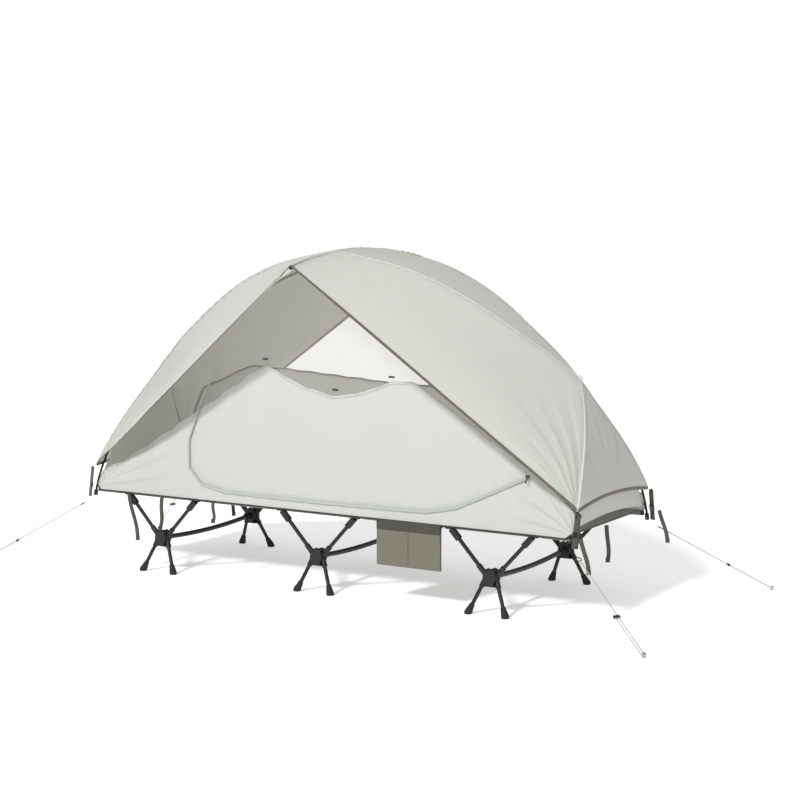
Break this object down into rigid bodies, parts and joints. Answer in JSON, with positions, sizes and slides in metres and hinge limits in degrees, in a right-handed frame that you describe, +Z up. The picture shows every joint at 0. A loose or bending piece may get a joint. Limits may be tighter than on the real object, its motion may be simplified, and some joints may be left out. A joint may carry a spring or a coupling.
{
  "type": "folding camp cot with tent",
  "caption": "Folding camp cot with a fabric deck on three folding leg sets, carrying a one-person tent with crossing poles, inner tent, fly and corner guylines.",
  "frame": {"origin": "on the floor, under the middle of the cot", "axes": "+X along the cot, -Y towards the side with the storage pocket, +Z up"},
  "size_m": [2.785, 1.1566, 1.2194],
  "materials": {
    "tube_black": "black anodised aluminium tube",
    "moulded_charcoal": "charcoal moulded nylon, satin",
    "foot_rubber": "black rubber, matt",
    "deck_olive": "olive grey woven polyester",
    "pocket_olive": "olive grey woven polyester with a dark band",
    "pole_silver": "brushed aluminium ferrule",
    "pole_dark": "dark anodised aluminium pole",
    "fly_white": "off-white translucent ripstop nylon",
    "binding_brown": "brown woven tape",
    "inner_white": "off-white nylon taffeta",
    "mesh_grey": "fine insect mesh, see-through",
    "floor_grey": "coated grey nylon",
    "binding_black": "black woven tape",
    "zip_pale": "pale green-grey zip tape",
    "zip_metal": "grey zip slider",
    "toggle_dark": "dark plastic",
    "strap_olive": "olive woven webbing",
    "ring_dark": "black painted wire",
    "buckle_black": "black moulded plastic, slightly glossy",
    "cord_white": "white braided cord",
    "peg_metal": "plain aluminium",
    "label_white": "white woven tab"
  },
  "bodies": {
    "cot_and_tent": {"brow_pole": "pole_dark", "brow_tips": "moulded_charcoal", "corner_rings": "ring_dark", "corner_sockets": "moulded_charcoal", "corner_straps": "strap_olive", "cot_fabric": "deck_olive", "crossing_clips": "moulded_charcoal", "door_zip": "zip_pale", "fly_binding": "binding_brown", "fly_ends": "fly_white", "fly_far": "fly_white", "fly_near": "fly_white", "fly_roof": "fly_white", "guyline_far_left": "cord_white", "guyline_far_right": "cord_white", "guyline_near_left": "cord_white", "guyline_near_right": "cord_white", "inner_binding": "binding_black", "inner_ends": "inner_white", "inner_floor": "floor_grey", "inner_mesh": "mesh_grey", "inner_walls": "inner_white", "label_tabs": "label_white", "pegs": "peg_metal", "pole_ferrules": "pole_silver", "rail_end_caps": "moulded_charcoal", "rail_far": "tube_black", "rail_ferrules": "pole_silver", "rail_near": "tube_black", "tent_pole_far": "pole_dark", "tent_pole_near": "pole_dark", "toggles": "toggle_dark"},
    "leg_set_left": {"crossbar_left": "tube_black", "hubs_left": "moulded_charcoal", "arms_left": "tube_black", "rail_clips_left": "moulded_charcoal", "feet_left": "tube_black", "foot_tips_left": "foot_rubber"},
    "leg_set_middle": {"crossbar_middle": "tube_black", "hubs_middle": "moulded_charcoal", "arms_middle": "tube_black", "rail_clips_middle": "moulded_charcoal", "feet_middle": "tube_black", "foot_tips_middle": "foot_rubber"},
    "leg_set_right": {"crossbar_right": "tube_black", "hubs_right": "moulded_charcoal", "arms_right": "tube_black", "rail_clips_right": "moulded_charcoal", "feet_right": "tube_black", "foot_tips_right": "foot_rubber"},
    "storage_pocket": {"storage_pocket": "pocket_olive"},
    "zip_slider": {"zip_slider": "zip_metal"},
    "strap_buckle_near_left": {"strap_buckle_near_left": "buckle_black"},
    "line_tensioner_near_left": {"line_tensioner_near_left": "buckle_black"},
    "strap_buckle_near_right": {"strap_buckle_near_right": "buckle_black"},
    "line_tensioner_near_right": {"line_tensioner_near_right": "buckle_black"},
    "strap_buckle_far_left": {"strap_buckle_far_left": "buckle_black"},
    "line_tensioner_far_left": {"line_tensioner_far_left": "buckle_black"},
    "strap_buckle_far_right": {"strap_buckle_far_right": "buckle_black"},
    "line_tensioner_far_right": {"line_tensioner_far_right": "buckle_black"}
  },
  "joints": [
    {"name": "leg_set_left_swing", "type": "hinge", "parent": "cot_and_tent", "child": "leg_set_left", "pos_m": [-0.7, -0.287, 0.289], "axis": [-1, 0, 0], "range_deg": [0, 70]},
    {"name": "leg_set_middle_swing", "type": "hinge", "parent": "cot_and_tent", "child": "leg_set_middle", "pos_m": [0, -0.287, 0.289], "axis": [-1, 0, 0], "range_deg": [0, 70]},
    {"name": "leg_set_right_swing", "type": "hinge", "parent": "cot_and_tent", "child": "leg_set_right", "pos_m": [0.7, -0.287, 0.289], "axis": [-1, 0, 0], "range_deg": [0, 70]},
    {"name": "pocket_swing", "type": "hinge", "parent": "cot_and_tent", "child": "storage_pocket", "pos_m": [0.385, -0.287, 0.289], "axis": [-1, 0, 0], "range_deg": [0, 60]},
    {"name": "zip_slider_slide", "type": "slide", "parent": "cot_and_tent", "child": "zip_slider", "axis": [-0.841, -0.3409, -0.4202], "range_m": [0, 0.108]},
    {"name": "strap_buckle_near_left_slide", "type": "slide", "parent": "cot_and_tent", "child": "strap_buckle_near_left", "axis": [0.0111, -0.211, -0.9774], "range_m": [-0.022, 0.022]},
    {"name": "line_tensioner_near_left_slide", "type": "slide", "parent": "cot_and_tent", "child": "line_tensioner_near_left", "axis": [-0.7229, -0.4929, -0.4841], "range_m": [0, 0.12]},
    {"name": "strap_buckle_near_right_slide", "type": "slide", "parent": "cot_and_tent", "child": "strap_buckle_near_right", "axis": [-0.0111, -0.211, -0.9774], "range_m": [-0.022, 0.022]},
    {"name": "line_tensioner_near_right_slide", "type": "slide", "parent": "cot_and_tent", "child": "line_tensioner_near_right", "axis": [0.7229, -0.4929, -0.4841], "range_m": [0, 0.12]},
    {"name": "strap_buckle_far_left_slide", "type": "slide", "parent": "cot_and_tent", "child": "strap_buckle_far_left", "axis": [0.0111, 0.211, -0.9774], "range_m": [-0.022, 0.022]},
    {"name": "line_tensioner_far_left_slide", "type": "slide", "parent": "cot_and_tent", "child": "line_tensioner_far_left", "axis": [-0.7229, 0.4929, -0.4841], "range_m": [0, 0.12]},
    {"name": "strap_buckle_far_right_slide", "type": "slide", "parent": "cot_and_tent", "child": "strap_buckle_far_right", "axis": [-0.0111, 0.211, -0.9774], "range_m": [-0.022, 0.022]},
    {"name": "line_tensioner_far_right_slide", "type": "slide", "parent": "cot_and_tent", "child": "line_tensioner_far_right", "axis": [0.7229, 0.4929, -0.4841], "range_m": [0, 0.12]}
  ]
}
